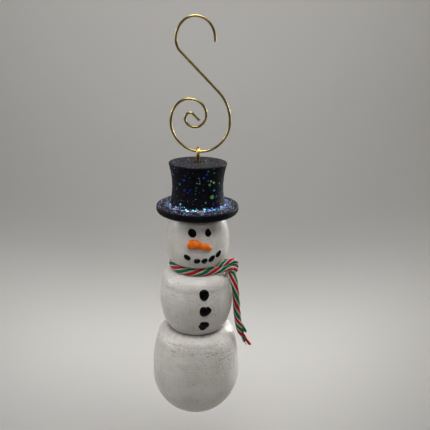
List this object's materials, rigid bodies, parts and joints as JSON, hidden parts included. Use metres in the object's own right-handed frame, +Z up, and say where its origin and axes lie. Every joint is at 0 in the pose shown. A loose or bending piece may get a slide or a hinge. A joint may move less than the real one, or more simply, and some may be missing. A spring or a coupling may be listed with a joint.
{
  "type": "hanging wooden snowman figure",
  "caption": "Turned and painted wooden snowman with a black top hat, cord scarf and raised paint face, hanging by a screw eye from a gold wire swirl hook.",
  "frame": {"origin": "the point on the inside of the hook's crook straight above the figure's axis, where the hook rests on its support", "axes": "+Z up along the hanging figure, -Y towards the viewer, +X to the viewer's right; the hook lies in the XZ plane and the figure faces -Y, turned about 10 degrees towards +X"},
  "size_m": [0.0556, 0.0506, 0.2226],
  "materials": {
    "gold_wire": "bright gold-plated wire",
    "brass_eye": "warm brass plating, slightly worn",
    "hat_paint": "black paint on turned wood with iridescent glitter",
    "white_paint": "satin white paint on turned wood with open pores",
    "bare_wood": "bare hardwood dowel",
    "black_dab": "raised glossy black acrylic paint",
    "orange_dab": "raised satin orange acrylic paint",
    "scarf_cord": "twisted red, green and white cord"
  },
  "bodies": {
    "hook": {"swirl_hook": "gold_wire"},
    "eye": {"screw_eye": "brass_eye"},
    "figure": {"top_hat": "hat_paint", "head": "white_paint", "middle_ball": "white_paint", "lower_ball": "white_paint", "hat_dowel": "bare_wood", "neck_dowel": "bare_wood", "waist_dowel": "bare_wood", "left_eye": "black_dab", "right_eye": "black_dab", "nose": "orange_dab", "mouth_dab_1": "black_dab", "mouth_dab_2": "black_dab", "mouth_dab_3": "black_dab", "mouth_dab_4": "black_dab", "mouth_dab_5": "black_dab", "top_button": "black_dab", "middle_button": "black_dab", "bottom_button": "black_dab", "scarf_neck_loop": "scarf_cord", "scarf_knot": "scarf_cord", "scarf_tail": "scarf_cord"}
  },
  "joints": [
    {"name": "swing_on_hook", "type": "hinge", "parent": "hook", "child": "eye", "pos_m": [0, 0, -0.06528], "axis": [1, 0, 0], "range_deg": [-105, 105]},
    {"name": "turn_on_thread", "type": "hinge", "parent": "eye", "child": "figure", "pos_m": [0, 0, -0.0709], "axis": [0, 0, 1], "range_deg": [-90, 90]}
  ]
}
